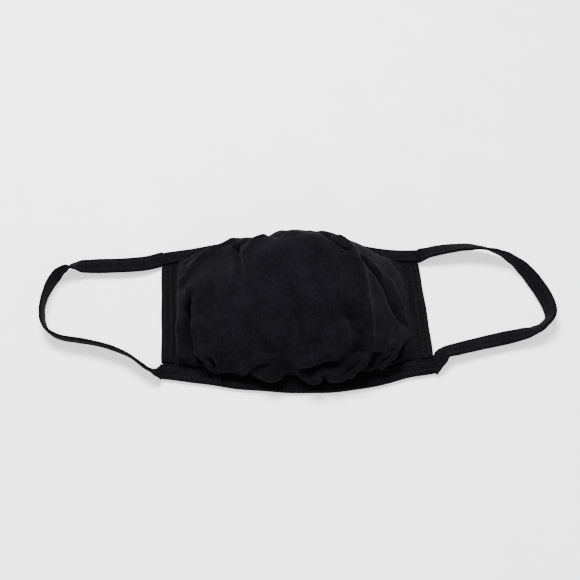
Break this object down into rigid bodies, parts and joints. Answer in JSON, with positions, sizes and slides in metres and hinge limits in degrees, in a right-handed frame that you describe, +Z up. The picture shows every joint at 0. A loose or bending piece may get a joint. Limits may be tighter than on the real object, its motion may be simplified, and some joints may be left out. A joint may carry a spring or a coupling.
{
  "type": "cloth face mask",
  "caption": "Gathered cotton jersey face mask with bound edges and ear loops, lying on its open hollow side with the loops spread out.",
  "frame": {"origin": "on the surface the mask lies on, under the middle of its outline", "axes": "+X along the mask from ear loop to ear loop, +Y towards the nose edge, +Z up out of the cloth's outer face"},
  "size_m": [0.3106, 0.1098, 0.0399],
  "materials": {
    "panel_jersey": "black cotton jersey, two plies, matt",
    "edge_tape": "black jersey tape folded over the edge and stitched, matt",
    "side_tape": "black jersey tape folded over the edge and stitched, matt",
    "loop_tape": "black jersey tape stitched shut with two rows of stitches, matt"
  },
  "bodies": {
    "root": {"face_panel": "panel_jersey", "nose_binding": "edge_tape", "chin_binding": "edge_tape", "left_side_binding": "side_tape", "right_side_binding": "side_tape", "left_ear_loop": "loop_tape", "right_ear_loop": "loop_tape"}
  },
  "joints": []
}
